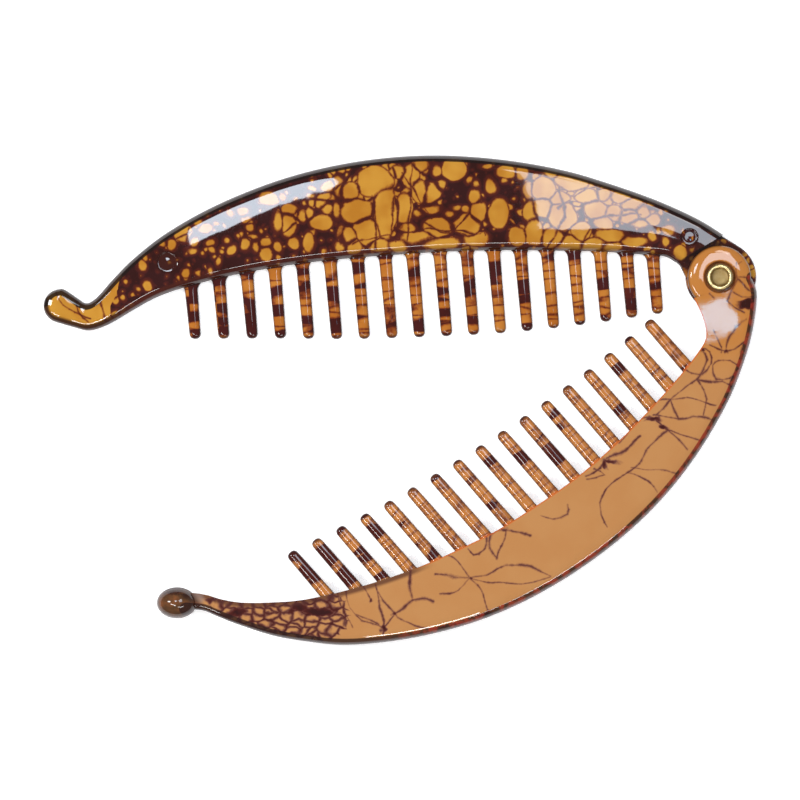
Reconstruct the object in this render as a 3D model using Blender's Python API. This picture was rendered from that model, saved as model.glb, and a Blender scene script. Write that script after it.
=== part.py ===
"""Banana hair clip: two moulded combs on one brass rivet, lying open on a flat surface.

Each comb is drawn in its own plan: u runs from the rivet along the comb, and v across it towards the outer
edge. The front of a comb is the face that its teeth are flush with. The hook comb lies front down and the
ball comb front up, so at the hinge and along the teeth the hook comb keeps to the lower half of the
thickness and the ball comb to the upper half, and the two pass each other as the clip closes.
Lengths are in millimetres until a mesh is made; +Z is up and the rivet stands along +Z.
"""

import bmesh
import bpy
from math import cos, pi, radians, sin
from mathutils import Matrix, Vector

MM = 0.001

# Thickness and layers
THICKNESS = 3.8
LAYER_GAP = 0.3
LAYER = (THICKNESS - LAYER_GAP) / 2

# Hinge
HINGE_AT = (62.3, 23.95)
HOOK_COMB_TURN = 5.0
BALL_COMB_TURN = 41.0
LUG_CENTRE = (-0.5, 0.1)
LUG_RADIUS = 6.9
LUG_ARC = (128.0, 365.0)
LUG_ARC_STEPS = 30
LUG_ROOT = ((7.2, 3.0), (8.6, 4.6), (-0.6, 8.6))
LUG_EDGE = 0.35
LUG_POCKET_RADIUS = 7.8
DISC_RADIUS = 6.2
# Pillow-shaped edge of the disc: radius less than DISC_RADIUS by, depth below the front face
DISC_EDGE = ((0.0, 0.95), (0.15, 0.5), (0.5, 0.17), (1.0, 0.0))
SHANK_RADIUS = 1.5
HOLE_RADIUS = 1.8
CAP_RADIUS = 2.6
SEAT_RADIUS = 3.0
SEAT_DEPTH = 0.75

# How far a cutter runs past the face that it opens
CUT_PAST = 1.0

# Teeth. TOOTH_SECTION: half width and half depth shares round a tooth
TOOTH_WIDTH = 2.55
TOOTH_TIP_WIDTH = 2.25
TOOTH_SET_BACK = 0.1
TOOTH_ROOT_DEPTH = 1.0
TOOTH_SECTION = (
    (1, 0.45), (0.62, 1), (-0.62, 1), (-1, 0.45), (-1, -0.45), (-0.62, -1), (0.62, -1), (1, -0.45),
)
# Columns: distance from the edge of the blade, width added on each side
TOOTH_FLARE = ((-0.3, 0.7), (0.15, 0.35), (0.6, 0.08))
# Columns: distance from the tip, share of the tip's width, share of the depth
TOOTH_DOME = ((1.1, 1.0, 0.92), (0.45, 0.86, 0.78), (0.1, 0.55, 0.5), (0.0, 0.2, 0.2))

# Ends of the combs
HOOK_BULB_AT = (128.7, 5.7, 1.7)
HOOK_BULB_SIZE = (3.3, 3.3, 1.7)
BALL_AT = (121.5, -21.5, 3.05)
BALL_SIZE = (3.9, 3.02, 3.05)
BALL_TURN = -41.0

# Round dents left by the ejector pins on the back of the hook comb: u, v, radius, height of the face
EJECTOR_DENTS = ((106.9, 12.2, 2.1, 3.65), (5.2, 8.3, 1.7, 3.75))
DENT_DEPTH = 0.25

# Cross-section, from the front of the inner edge round to the front of the outer edge.
# Columns: edge that the inset is measured from, inset, height as a share of the thickness
SECTION = (
    ("inner", 0.25, 0.00),
    ("inner", 0.00, 0.07),
    ("inner", 0.00, 0.52),
    ("inner", 0.35, 0.76),
    ("inner", 0.95, 0.91),
    ("inner", 1.75, 0.97),
    ("middle", 0.0, 1.00),
    ("outer", 1.40, 0.97),
    ("outer", 0.55, 0.80),
    ("outer", 0.05, 0.58),
    ("outer", 0.00, 0.40),
    ("outer", 0.40, 0.17),
    ("outer", 1.30, 0.00),
)
FULL_MARGIN_WIDTH = 7.0

# Columns: inner edge u, v, outer edge u, v, height of the front face, height of the back face
HOOK_COMB_STATIONS = (
    (8.0, 3.7, -1.6, 8.2, 0, 3.8),
    (10.1, 5.1, 3.1, 11.7, 0, 3.8),
    (14.8, 5.9, 10.9, 16.1, 0, 3.8),
    (22.4, 7.1, 19.9, 20.2, 0, 3.8),
    (30.4, 8.0, 28.7, 23.6, 0, 3.8),
    (40.8, 9.0, 39.6, 26.5, 0, 3.8),
    (51.3, 9.7, 50.9, 28.4, 0, 3.8),
    (61.8, 10.0, 61.8, 29.0, 0, 3.8),
    (72.5, 10.1, 73.1, 28.3, 0, 3.8),
    (83.5, 9.8, 84.6, 26.3, 0, 3.8),
    (94.6, 8.8, 96.7, 22.6, 0, 3.8),
    (103.4, 7.4, 106.7, 18.1, 0, 3.7),
    (109.6, 5.9, 113.7, 13.6, 0, 3.5),
    (114.7, 3.7, 118.2, 9.8, 0, 3.2),
    (118.2, 2.0, 120.5, 7.6, 0, 2.9),
    (121.3, 0.8, 122.3, 6.2, 0, 2.6),
    (124.0, 0.5, 123.8, 5.8, 0, 2.4),
    (126.4, 1.4, 125.6, 6.8, 0, 2.5),
    (128.6, 3.0, 127.0, 7.8, 0.5, 2.7),
)
BALL_COMB_STATIONS = (
    (6.5, -0.2, -4.7, 4.4, 3.8, 0),
    (7.9, 4.3, -3.2, 7.6, 3.8, 0),
    (9.9, 7.2, 2.6, 12.7, 3.8, 0),
    (13.4, 8.4, 9.4, 16.9, 3.8, 0),
    (18.6, 9.4, 16.0, 20.0, 3.8, 0),
    (26.3, 10.4, 25.0, 23.0, 3.8, 0),
    (34.2, 11.1, 33.7, 24.9, 3.8, 0),
    (41.9, 11.3, 42.7, 25.8, 3.8, 0),
    (49.7, 10.9, 51.9, 25.7, 3.8, 0),
    (57.3, 10.0, 61.0, 24.7, 3.8, 0),
    (64.9, 8.8, 70.2, 22.8, 3.8, 0),
    (72.7, 6.8, 79.4, 19.8, 3.8, 0),
    (80.3, 4.5, 88.1, 15.7, 3.8, 0),
    (88.1, 1.5, 96.0, 10.9, 3.8, 0),
    (96.0, -2.2, 102.6, 5.9, 3.8, 0),
    (102.8, -6.0, 107.6, 0.6, 3.8, 0.1),
    (108.0, -9.9, 111.6, -4.4, 3.9, 0.7),
    (111.9, -13.3, 115.1, -10.2, 4.0, 1.4),
    (114.4, -16.3, 117.1, -14.0, 4.1, 1.8),
    (115.9, -18.7, 118.4, -16.7, 4.1, 1.9),
    (117.4, -20.5, 119.6, -18.1, 4.1, 2.0),
)
STEPS_PER_STATION = 2

# Tips of the teeth along each comb: u, v
HOOK_COMB_TIPS = ((12.4, -6.0), (28.0, -6.9), (45.0, -7.1), (70.0, -5.9), (86.3, -4.4), (103.2, -3.0))
BALL_COMB_TIPS = ((16.2, -2.8), (36.0, -3.6), (57.4, -6.0), (77.8, -9.5), (98.5, -14.5))

# Places of the teeth: their number, the first one's u, the pitch and its growth from tooth to tooth
HOOK_COMB_TEETH = (18, 12.4, 5.065, 0.0155)
BALL_COMB_TEETH = (17, 16.25, 5.132, 0.0)

# Rivet profile above its seat: radius less than CAP_RADIUS by, height above the seat
RIVET_SEAT_GAP = 0.3
RIVET_HEAD = ((0.15, 0.0), (0.0, 0.3), (0.15, 0.6), (0.5, 0.75), (0.8, 0.6), (0.95, 0.35), (1.5, 0.15))
RIVET_FOOT = ((0.15, 0.05), (0.0, 0.2))

AMBER = (0.50, 0.20, 0.035, 1.0)
BRASS = (0.72, 0.52, 0.22, 1.0)


def clear_scene():
    for thing in list(bpy.data.objects):
        bpy.data.objects.remove(thing, do_unlink=True)


def make_material(name, colour, roughness, metallic):
    material = bpy.data.materials.new(name)
    material.use_nodes = True
    shader = material.node_tree.nodes["Principled BSDF"]
    shader.inputs["Base Color"].default_value = colour
    shader.inputs["Roughness"].default_value = roughness
    shader.inputs["Metallic"].default_value = metallic
    material.diffuse_color = colour
    return material


def smooth_rows(rows, steps):
    """Catmull-Rom curve through rows of any number of columns, with the given steps between rows."""
    result = []
    for i in range(len(rows) - 1):
        before = rows[max(i - 1, 0)]
        start = rows[i]
        end = rows[i + 1]
        after = rows[min(i + 2, len(rows) - 1)]
        for k in range(steps):
            t = k / steps
            result.append(tuple(
                0.5 * (2 * b + (c - a) * t + (2 * a - 5 * b + 4 * c - d) * t ** 2
                       + (3 * b - a - 3 * c + d) * t ** 3)
                for a, b, c, d in zip(before, start, end, after)
            ))
    result.append(tuple(rows[-1]))
    return result


def height_at(curve, u):
    """The v of a (u, v, ...) curve at u, on straight lines between its points."""
    for first, second in zip(curve, curve[1:]):
        if first[0] <= u <= second[0]:
            share = (u - first[0]) / (second[0] - first[0])
            return first[1] + (second[1] - first[1]) * share
    raise ValueError("u is past the end of the curve")


def mesh_object(name, rings):
    """A closed solid through rings of points in millimetres, capped at both ends."""
    shell = bmesh.new()
    loops = [[shell.verts.new(Vector(point) * MM) for point in ring] for ring in rings]
    count = len(loops[0])
    for lower, upper in zip(loops, loops[1:]):
        for i in range(count):
            j = (i + 1) % count
            shell.faces.new((lower[i], lower[j], upper[j], upper[i]))
    shell.faces.new(loops[0][::-1])
    shell.faces.new(loops[-1])
    bmesh.ops.recalc_face_normals(shell, faces=shell.faces)
    mesh = bpy.data.meshes.new(name)
    shell.to_mesh(mesh)
    shell.free()
    thing = bpy.data.objects.new(name, mesh)
    bpy.context.scene.collection.objects.link(thing)
    return thing


def turned(name, profile, segments, centre=(0.0, 0.0), side=1):
    """A turned solid on a vertical axis at a comb's (u, v), from (radius, z) points."""
    middle = (-centre[0], side * centre[1])
    rings = [
        [
            (
                middle[0] + radius * cos(2 * pi * k / segments),
                middle[1] + radius * sin(2 * pi * k / segments),
                z,
            )
            for k in range(segments)
        ]
        for radius, z in profile
    ]
    return mesh_object(name, rings)


def ellipsoid(name, centre, size, turn, side):
    """An ellipsoid in a comb's plan, turned about the vertical by an angle in degrees."""
    shell = bmesh.new()
    bmesh.ops.create_uvsphere(shell, u_segments=20, v_segments=12, radius=1.0)
    place = (
        Matrix.Translation(Vector((-centre[0], side * centre[1], centre[2])) * MM)
        @ Matrix.Rotation(radians(turn), 4, "Z")
        @ Matrix.Diagonal((size[0] * MM, size[1] * MM, size[2] * MM, 1.0))
    )
    bmesh.ops.transform(shell, matrix=place, verts=shell.verts)
    mesh = bpy.data.meshes.new(name)
    shell.to_mesh(mesh)
    shell.free()
    thing = bpy.data.objects.new(name, mesh)
    bpy.context.scene.collection.objects.link(thing)
    return thing


def comb_body(name, stations, side):
    """The blade of a comb, from the hinge to its far end. side is 1 where the outer edge is at +y."""
    rings = []
    for inner_u, inner_v, outer_u, outer_v, front, back in stations:
        inner = Vector((inner_u, inner_v))
        across = Vector((outer_u, outer_v)) - inner
        width = across.length
        margin = min(1.0, width / FULL_MARGIN_WIDTH)
        ring = []
        for edge, inset, share in SECTION:
            if edge == "inner":
                place = inset * margin / width
            elif edge == "outer":
                place = 1 - inset * margin / width
            else:
                place = 0.5
            point = inner + across * place
            ring.append((-point.x, side * point.y, max(0.0, front + (back - front) * share)))
        rings.append(ring)
    return mesh_object(name, rings)


def tooth(name, u, root_v, tip_v, front, into, flared, side):
    """One tooth from inside the blade to its domed tip. into is +1 or -1: from the front to the back."""
    middle_z = front + into * (TOOTH_SET_BACK + LAYER) / 2
    half_depth = (LAYER - TOOTH_SET_BACK) / 2
    root_half = TOOTH_WIDTH / 2
    tip_half = TOOTH_TIP_WIDTH / 2
    length = root_v - tip_v
    rows = [(-TOOTH_ROOT_DEPTH, root_half, 1.0)]
    if flared:
        rows += [(along, root_half + wider, 1.0) for along, wider in TOOTH_FLARE]
    rows += [(length - back, tip_half * share, depth) for back, share, depth in TOOTH_DOME]
    rings = []
    for along, half, depth in rows:
        v = root_v - along
        rings.append([
            (-(u + x * half), side * v, middle_z + z * half_depth * depth)
            for x, z in TOOTH_SECTION
        ])
    return mesh_object(name, rings)


def comb_teeth(name, stations, tips, places, front, into, flared, side):
    """The row of teeth of one comb, each from the blade's inner edge to the curve of the tips."""
    count, first, pitch, growth = places
    tip_curve = smooth_rows(tips, STEPS_PER_STATION)
    teeth = []
    for i in range(count):
        u = first + pitch * i + growth * i * i
        tip_v = height_at(tip_curve, min(max(u, tips[0][0]), tips[-1][0]))
        root_v = height_at(stations, u)
        teeth.append(tooth(f"{name}_tooth_{i + 1:02d}", u, root_v, tip_v, front, into, flared, side))
    return teeth


def lug(name):
    """The hook comb's half-thickness end under the ball comb's disc, in the comb's plan."""
    first, last = LUG_ARC
    turn = [radians(first + (last - first) * k / LUG_ARC_STEPS) for k in range(LUG_ARC_STEPS + 1)]
    outline = [
        (LUG_CENTRE[0] + LUG_RADIUS * cos(angle), LUG_CENTRE[1] + LUG_RADIUS * sin(angle))
        for angle in turn
    ]
    outline += LUG_ROOT
    inward = 1 - LUG_EDGE / LUG_RADIUS
    layers = ((inward, 0.0), (1.0, LUG_EDGE), (1.0, LAYER - LUG_EDGE), (inward, LAYER))
    return mesh_object(name, [[(-u * scale, v * scale, z) for u, v in outline] for scale, z in layers])


def disc(name):
    """The ball comb's half-thickness end, with its pillow-shaped top edge."""
    bottom = THICKNESS - LAYER
    chamfer = 0.2
    profile = [(DISC_RADIUS - chamfer, bottom), (DISC_RADIUS, bottom + chamfer)]
    profile += [(DISC_RADIUS - less, THICKNESS - depth) for less, depth in DISC_EDGE]
    return turned(name, profile, 48)


def hinge_hole(name, seat_floor, seat_mouth):
    """The cutter for the rivet's hole, and for the wider seat from its floor to its open face."""
    outward = 1 if seat_mouth > seat_floor else -1
    profile = (
        (HOLE_RADIUS, seat_floor - outward * THICKNESS),
        (HOLE_RADIUS, seat_floor),
        (SEAT_RADIUS, seat_floor),
        (SEAT_RADIUS, seat_mouth + outward * CUT_PAST),
    )
    return turned(name, profile, 32)


def combine(target, operation, operands, label):
    """Adds an exact Boolean of the operands to the target, and puts the operands out of sight."""
    group = bpy.data.collections.new(label)
    bpy.context.scene.collection.children.link(group)
    for operand in operands:
        for holder in list(operand.users_collection):
            holder.objects.unlink(operand)
        group.objects.link(operand)
        operand.parent = target
        operand.hide_render = True
        operand.display_type = "WIRE"
    modifier = target.modifiers.new(label, "BOOLEAN")
    modifier.operation = operation
    modifier.operand_type = "COLLECTION"
    modifier.collection = group
    modifier.solver = "EXACT"


def shade(thing, material):
    thing.data.materials.append(material)
    thing.data.shade_smooth()
    thing.data.set_sharp_from_angle(angle=radians(35))


def stand_on_hinge(thing, turn):
    thing.location = (HINGE_AT[0] * MM, HINGE_AT[1] * MM, 0.0)
    thing.rotation_euler = (0.0, 0.0, radians(turn))


def make_hook_comb(material):
    side = 1
    stations = smooth_rows(HOOK_COMB_STATIONS, STEPS_PER_STATION)
    comb = comb_body("hook_comb", stations, side)
    added = comb_teeth("hook_comb", stations, HOOK_COMB_TIPS, HOOK_COMB_TEETH, 0.0, 1, True, side)
    added.append(lug("hook_comb_lug"))
    added.append(ellipsoid("hook_comb_bulb", HOOK_BULB_AT, HOOK_BULB_SIZE, 0.0, side))
    combine(comb, "UNION", added, "hook comb parts")
    cutters = [hinge_hole("lug_hole", SEAT_DEPTH, 0.0)]
    for i, (u, v, radius, face) in enumerate(EJECTOR_DENTS, 1):
        profile = ((radius, face - DENT_DEPTH), (radius, face + CUT_PAST))
        cutters.append(turned(f"ejector_dent_{i}", profile, 24, (u, v), side))
    combine(comb, "DIFFERENCE", cutters, "hook comb cuts")
    shade(comb, material)
    stand_on_hinge(comb, HOOK_COMB_TURN)


def make_ball_comb(material):
    side = -1
    stations = smooth_rows(BALL_COMB_STATIONS, STEPS_PER_STATION)
    comb = comb_body("ball_comb", stations, side)
    added = comb_teeth("ball_comb", stations, BALL_COMB_TIPS, BALL_COMB_TEETH, THICKNESS, -1, False, side)
    added.append(disc("ball_comb_disc"))
    added.append(ellipsoid("ball_comb_ball", BALL_AT, BALL_SIZE, BALL_TURN, side))
    combine(comb, "UNION", added, "ball comb parts")
    pocket = ((LUG_POCKET_RADIUS, -CUT_PAST), (LUG_POCKET_RADIUS, THICKNESS - LAYER))
    cutters = [turned("lug_pocket", pocket, 48), hinge_hole("disc_hole", THICKNESS - SEAT_DEPTH, THICKNESS)]
    combine(comb, "DIFFERENCE", cutters, "ball comb cuts")
    shade(comb, material)
    stand_on_hinge(comb, BALL_COMB_TURN)


def make_rivet(material):
    """A brass rivet: a flat foot under the lug, a shank, and a rolled rim round a dished head."""
    foot = SEAT_DEPTH - RIVET_SEAT_GAP
    seat = THICKNESS - SEAT_DEPTH + RIVET_SEAT_GAP
    profile = [(CAP_RADIUS - less, z) for less, z in RIVET_FOOT]
    profile += [(CAP_RADIUS, foot), (SHANK_RADIUS, foot), (SHANK_RADIUS, seat)]
    profile += [(CAP_RADIUS - less, seat + z) for less, z in RIVET_HEAD]
    rivet = turned("hinge_rivet", profile, 32)
    shade(rivet, material)
    stand_on_hinge(rivet, 0.0)


def main():
    clear_scene()
    plastic = make_material("amber_plastic", AMBER, 0.12, 0.0)
    brass = make_material("brass", BRASS, 0.28, 1.0)
    make_hook_comb(plastic)
    make_ball_comb(plastic)
    make_rivet(brass)


main()
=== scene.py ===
"""Looks of the banana hair clip: two glossy tortoiseshell combs and a brass rivet, open on a pale floor.

Each comb is drawn in its own plan, as its solid is: u runs from the rivet along the comb, and v across it
towards the outer edge, in millimetres, so a point of its mesh is (-u, side * v, z) before it is set down at
the hinge. The charts of the pattern use the plan of the view instead: 800 units wide and high, centred over
the clip, with x to the right and y downwards, each unit VIEW_UNIT millimetres.
"""

import bmesh
import bpy
import numpy as np
from math import cos, pi, radians, sin
from mathutils import Matrix, Vector


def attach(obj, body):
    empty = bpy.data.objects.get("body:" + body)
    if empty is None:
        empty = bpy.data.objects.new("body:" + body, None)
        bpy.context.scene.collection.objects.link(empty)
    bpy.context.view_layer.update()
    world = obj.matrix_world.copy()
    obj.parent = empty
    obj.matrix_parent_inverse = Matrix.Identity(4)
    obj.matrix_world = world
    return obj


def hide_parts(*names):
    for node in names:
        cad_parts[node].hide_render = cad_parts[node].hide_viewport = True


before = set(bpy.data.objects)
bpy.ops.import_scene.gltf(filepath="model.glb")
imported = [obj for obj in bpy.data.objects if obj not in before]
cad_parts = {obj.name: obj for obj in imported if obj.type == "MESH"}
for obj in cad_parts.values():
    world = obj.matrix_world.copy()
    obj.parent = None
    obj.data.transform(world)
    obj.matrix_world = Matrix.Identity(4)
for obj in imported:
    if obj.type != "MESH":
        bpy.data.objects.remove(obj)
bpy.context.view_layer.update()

MM = 0.001
VIEW_UNIT = 0.195
VIEW_CENTRE = (400.0, 399.5)

# Thickness, layers and hinge
THICKNESS = 3.8
LAYER_GAP = 0.3
LAYER = (THICKNESS - LAYER_GAP) / 2
HINGE_AT = (62.3, 23.95)
HOOK_COMB_TURN = 5.0
BALL_COMB_TURN = 41.0
LUG_CENTRE = (-0.5, 0.1)
LUG_RADIUS = 6.85
LUG_ARC = (128.0, 365.0)
LUG_ROOT = ((7.2, 3.0), (8.6, 4.6), (-0.6, 8.6))
LUG_POCKET_RADIUS = 7.8
DISC_RADIUS = 6.18
# Pillow-shaped edge of the disc: radius less than DISC_RADIUS by, depth below the front face
DISC_EDGE = (
    (0.0, 1.15), (0.0, 0.97), (0.04, 0.8), (0.13, 0.63), (0.27, 0.47), (0.46, 0.34), (0.7, 0.24),
    (1.0, 0.16), (1.4, 0.09), (1.9, 0.04), (2.5, 0.01), (2.9, 0.0),
)
HOLE_RADIUS = 1.8
SEAT_RADIUS = 3.0
SEAT_DEPTH = 0.75
CUT_PAST = 1.0

# Teeth
TOOTH_WIDTH = 2.55
TOOTH_TIP_WIDTH = 2.25
TOOTH_SET_BACK = 0.1
TOOTH_ROOT_DEPTH = 1.0
TOOTH_SIDES = 20
TOOTH_SQUARENESS = 2.4
# Columns: distance from the edge of the blade, width added on each side
TOOTH_FLARE = ((-0.3, 0.7), (-0.1, 0.55), (0.15, 0.34), (0.4, 0.18), (0.7, 0.07), (1.1, 0.0))
# Columns: distance from the tip, share of the tip's width, share of the depth
TOOTH_DOME = (
    (1.3, 1.0, 1.0), (1.0, 0.99, 0.97), (0.75, 0.96, 0.92), (0.5, 0.88, 0.83), (0.3, 0.76, 0.7),
    (0.15, 0.6, 0.54), (0.05, 0.4, 0.36), (0.0, 0.18, 0.16),
)

# Ends of the combs
HOOK_END_AT = (128.7, 5.7)
HOOK_END_RADIUS = 3.28
HOOK_END_ALONG = (0.949, 0.316)
# Columns: distance past the middle of the rounded end, height of the front face, height of the back face
HOOK_END_ROWS = (
    (0.0, 0.0, 2.9), (1.1, 0.08, 2.95), (2.0, 0.3, 2.8), (2.6, 0.55, 2.6), (3.0, 0.85, 2.35),
    (3.2, 1.15, 2.05), (3.26, 1.4, 1.8),
)
BALL_AT = (121.5, -21.5, 3.05)
BALL_SIZE = (3.9, 3.02, 3.05)
BALL_TURN = -41.0

# Round dents left by the ejector pins on the back of the hook comb: u, v, radius, height of the face
EJECTOR_DENTS = ((106.9, 12.2, 2.1, 3.65), (5.2, 8.3, 1.7, 3.75))
DENT_DEPTH = 0.25

# Margins of the cross-section: inset from the edge, height as a share of the thickness
INNER_MARGIN = (
    (0.25, 0.0), (0.07, 0.025), (0.0, 0.07), (0.0, 0.22), (0.0, 0.37), (0.0, 0.52), (0.05, 0.62),
    (0.18, 0.7), (0.35, 0.76), (0.62, 0.85), (0.95, 0.91), (1.35, 0.95), (1.75, 0.97),
)
# The same for the ball comb, whose face runs on to the roots of its teeth over a wall that leans back
SHARP_INNER_MARGIN = (
    (0.06, 0.0), (0.0, 0.015), (0.04, 0.1), (0.1, 0.22), (0.17, 0.37), (0.25, 0.55), (0.34, 0.75),
    (0.42, 0.92), (0.5, 0.97), (0.6, 0.97), (0.8, 0.97), (1.0, 0.97), (1.3, 0.97),
)
OUTER_MARGIN = (
    (1.4, 0.97), (1.2, 0.945), (0.9, 0.885), (0.55, 0.8), (0.25, 0.7), (0.05, 0.58), (0.0, 0.49),
    (0.0, 0.4), (0.12, 0.28), (0.4, 0.17), (0.8, 0.07), (1.3, 0.0),
)
CROWN = 0.03
BACK_COLUMNS = 14
FRONT_COLUMNS = 8
FULL_MARGIN_WIDTH = 7.0
STEPS_PER_STATION = 6

# Columns: inner edge u, v, outer edge u, v, height of the front face, height of the back face
HOOK_COMB_STATIONS = (
    (8.0, 3.7, -1.6, 8.2, 0, 3.8),
    (10.1, 5.1, 3.1, 11.7, 0, 3.8),
    (14.8, 5.9, 10.9, 16.1, 0, 3.8),
    (22.4, 7.1, 19.9, 20.2, 0, 3.8),
    (30.4, 8.0, 28.7, 23.6, 0, 3.8),
    (40.8, 9.0, 39.6, 26.5, 0, 3.8),
    (51.3, 9.7, 50.9, 28.37, 0, 3.8),
    (61.8, 10.0, 61.8, 28.96, 0, 3.8),
    (72.5, 10.1, 73.1, 28.3, 0, 3.8),
    (83.5, 9.8, 84.6, 26.3, 0, 3.8),
    (94.6, 8.8, 96.7, 22.6, 0, 3.8),
    (103.4, 7.4, 106.7, 18.1, 0, 3.7),
    (109.6, 5.9, 113.7, 13.6, 0, 3.5),
    (114.7, 3.7, 118.2, 9.8, 0, 3.2),
    (118.2, 2.0, 120.5, 7.6, 0, 2.9),
    (121.3, 0.8, 122.3, 6.2, 0, 2.6),
    (124.0, 0.5, 123.8, 5.8, 0, 2.4),
    (126.4, 1.3, 125.4, 7.0, 0, 2.5),
)
BALL_COMB_STATIONS = (
    (6.5, -0.2, -4.7, 4.4, 3.8, 0),
    (7.9, 4.3, -3.2, 7.6, 3.8, 0),
    (9.9, 7.2, 2.6, 12.7, 3.8, 0),
    (13.4, 8.4, 9.4, 16.9, 3.8, 0),
    (18.6, 9.4, 16.0, 20.0, 3.8, 0),
    (26.3, 10.4, 25.0, 23.0, 3.8, 0),
    (34.2, 11.1, 33.7, 24.9, 3.8, 0),
    (41.9, 11.3, 42.7, 25.8, 3.8, 0),
    (49.7, 10.9, 51.9, 25.7, 3.8, 0),
    (57.3, 10.0, 61.0, 24.7, 3.8, 0),
    (64.9, 8.8, 70.2, 22.8, 3.8, 0),
    (72.7, 6.8, 79.4, 19.8, 3.8, 0),
    (80.3, 4.5, 88.1, 15.7, 3.8, 0),
    (88.1, 1.5, 96.0, 10.9, 3.8, 0),
    (96.0, -2.2, 102.6, 5.9, 3.8, 0),
    (102.8, -6.0, 107.6, 0.6, 3.8, 0.1),
    (108.0, -9.9, 111.6, -4.4, 3.9, 0.7),
    (111.9, -13.3, 115.1, -10.2, 4.0, 1.4),
    (114.4, -16.3, 117.1, -14.0, 4.1, 1.8),
    (115.9, -18.7, 118.4, -16.7, 4.1, 1.9),
    (117.4, -20.5, 119.6, -18.1, 4.1, 2.0),
    (118.7, -21.6, 120.7, -19.4, 4.1, 2.0),
)

# Tips of the teeth along each comb: u, v
HOOK_COMB_TIPS = ((12.4, -6.0), (28.0, -6.9), (45.0, -7.1), (70.0, -5.9), (86.3, -4.4), (103.2, -3.0))
BALL_COMB_TIPS = ((16.2, -2.8), (36.0, -3.6), (57.4, -6.0), (77.8, -9.5), (98.5, -14.5))

# Places of the teeth: their number, the first one's u, the pitch and its growth from tooth to tooth
HOOK_COMB_TEETH = (18, 12.4, 5.065, 0.0155)
BALL_COMB_TEETH = (17, 16.25, 5.132, 0.0)

# Rivet: radius and height, from the foot up its shank and over the rolled rim into the dish
RIVET_PROFILE = (
    (2.45, 0.05), (2.57, 0.1), (2.6, 0.2), (2.6, 0.45), (1.5, 0.45), (1.5, 3.35), (2.45, 3.35),
    (2.55, 3.45), (2.6, 3.6), (2.58, 3.75), (2.5, 3.9), (2.38, 4.01), (2.22, 4.08), (2.06, 4.09),
    (1.92, 4.05), (1.82, 3.97), (1.76, 3.86), (1.71, 3.74), (1.65, 3.63), (1.55, 3.55), (1.38, 3.49),
    (1.1, 3.44), (0.7, 3.41), (0.3, 3.4), (0.04, 3.4),
)

# Floor, the light from all round, and the tints of lights
FLOOR_SIZE = 2400.0
FLOOR_TONE = (0.92, 0.92, 0.92, 1.0)
FLOOR_GLOW = 0.3
WORLD_GLOW = 0.22
WHITE = (1.0, 1.0, 1.0)
CARD_TINT = (0.78, 0.88, 1.0)
NECK_TINT = (0.34, 0.72, 1.0)
# Softboxes: name, place, size, brightness, turn in degrees, tint, and whether reflections show them.
# One with a turn faces straight down, and one without faces the middle of the floor.
SOFTBOXES = (
    ("key", (-420, 330, 560), (380, 380), 7.6, None, WHITE, False),
    ("fill", (420, -360, 600), (300, 300), 5.0, None, WHITE, False),
    ("front_strip", (210, -330, 520), (200, 24), 30.0, None, WHITE, True),
    ("lip_strip", (58, -320, 520), (110, 30), 28.0, None, WHITE, True),
    ("hook_strip", (-200, -140, 520), (236, 26), 44.0, -29.0, WHITE, True),
    ("back_card", (155, 255, 520), (120, 80), 9.0, None, WHITE, True),
    ("tooth_strip", (-430, 110, 520), (90, 150), 30.0, None, WHITE, True),
    ("right_card", (151, 141, 520), (102, 138), 9.0, 0.0, CARD_TINT, True),
    ("middle_card", (76, 126, 520), (48, 166), 9.0, 0.0, CARD_TINT, True),
    ("left_card", (-79, 121, 520), (80, 78), 18.0, 26.6, CARD_TINT, True),
    ("neck_card", (123, 33, 520), (13, 12), 14.0, 20.0, NECK_TINT, True),
)

# Camera: its lens and sensor, and the width that it sees at a height above the floor
LENS = 120
SENSOR_WIDTH = 36
VIEW_WIDTH = 800 * VIEW_UNIT
VIEW_HEIGHT = 3.0

# Items of a chart in one node group
GROUP_SIZE = 24

# Straight pieces from one point of a strand to the next
STRAND_STEPS = 2

# How widely the joins of strands are filled, in view units
STRAND_ROUNDING = 1.2

# The furthest that a distance from a cell or a strand is told, in view units
FAR = 60.0

# Bands to the millimetre along a tooth
TOOTH_BANDS = 0.55

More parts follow.
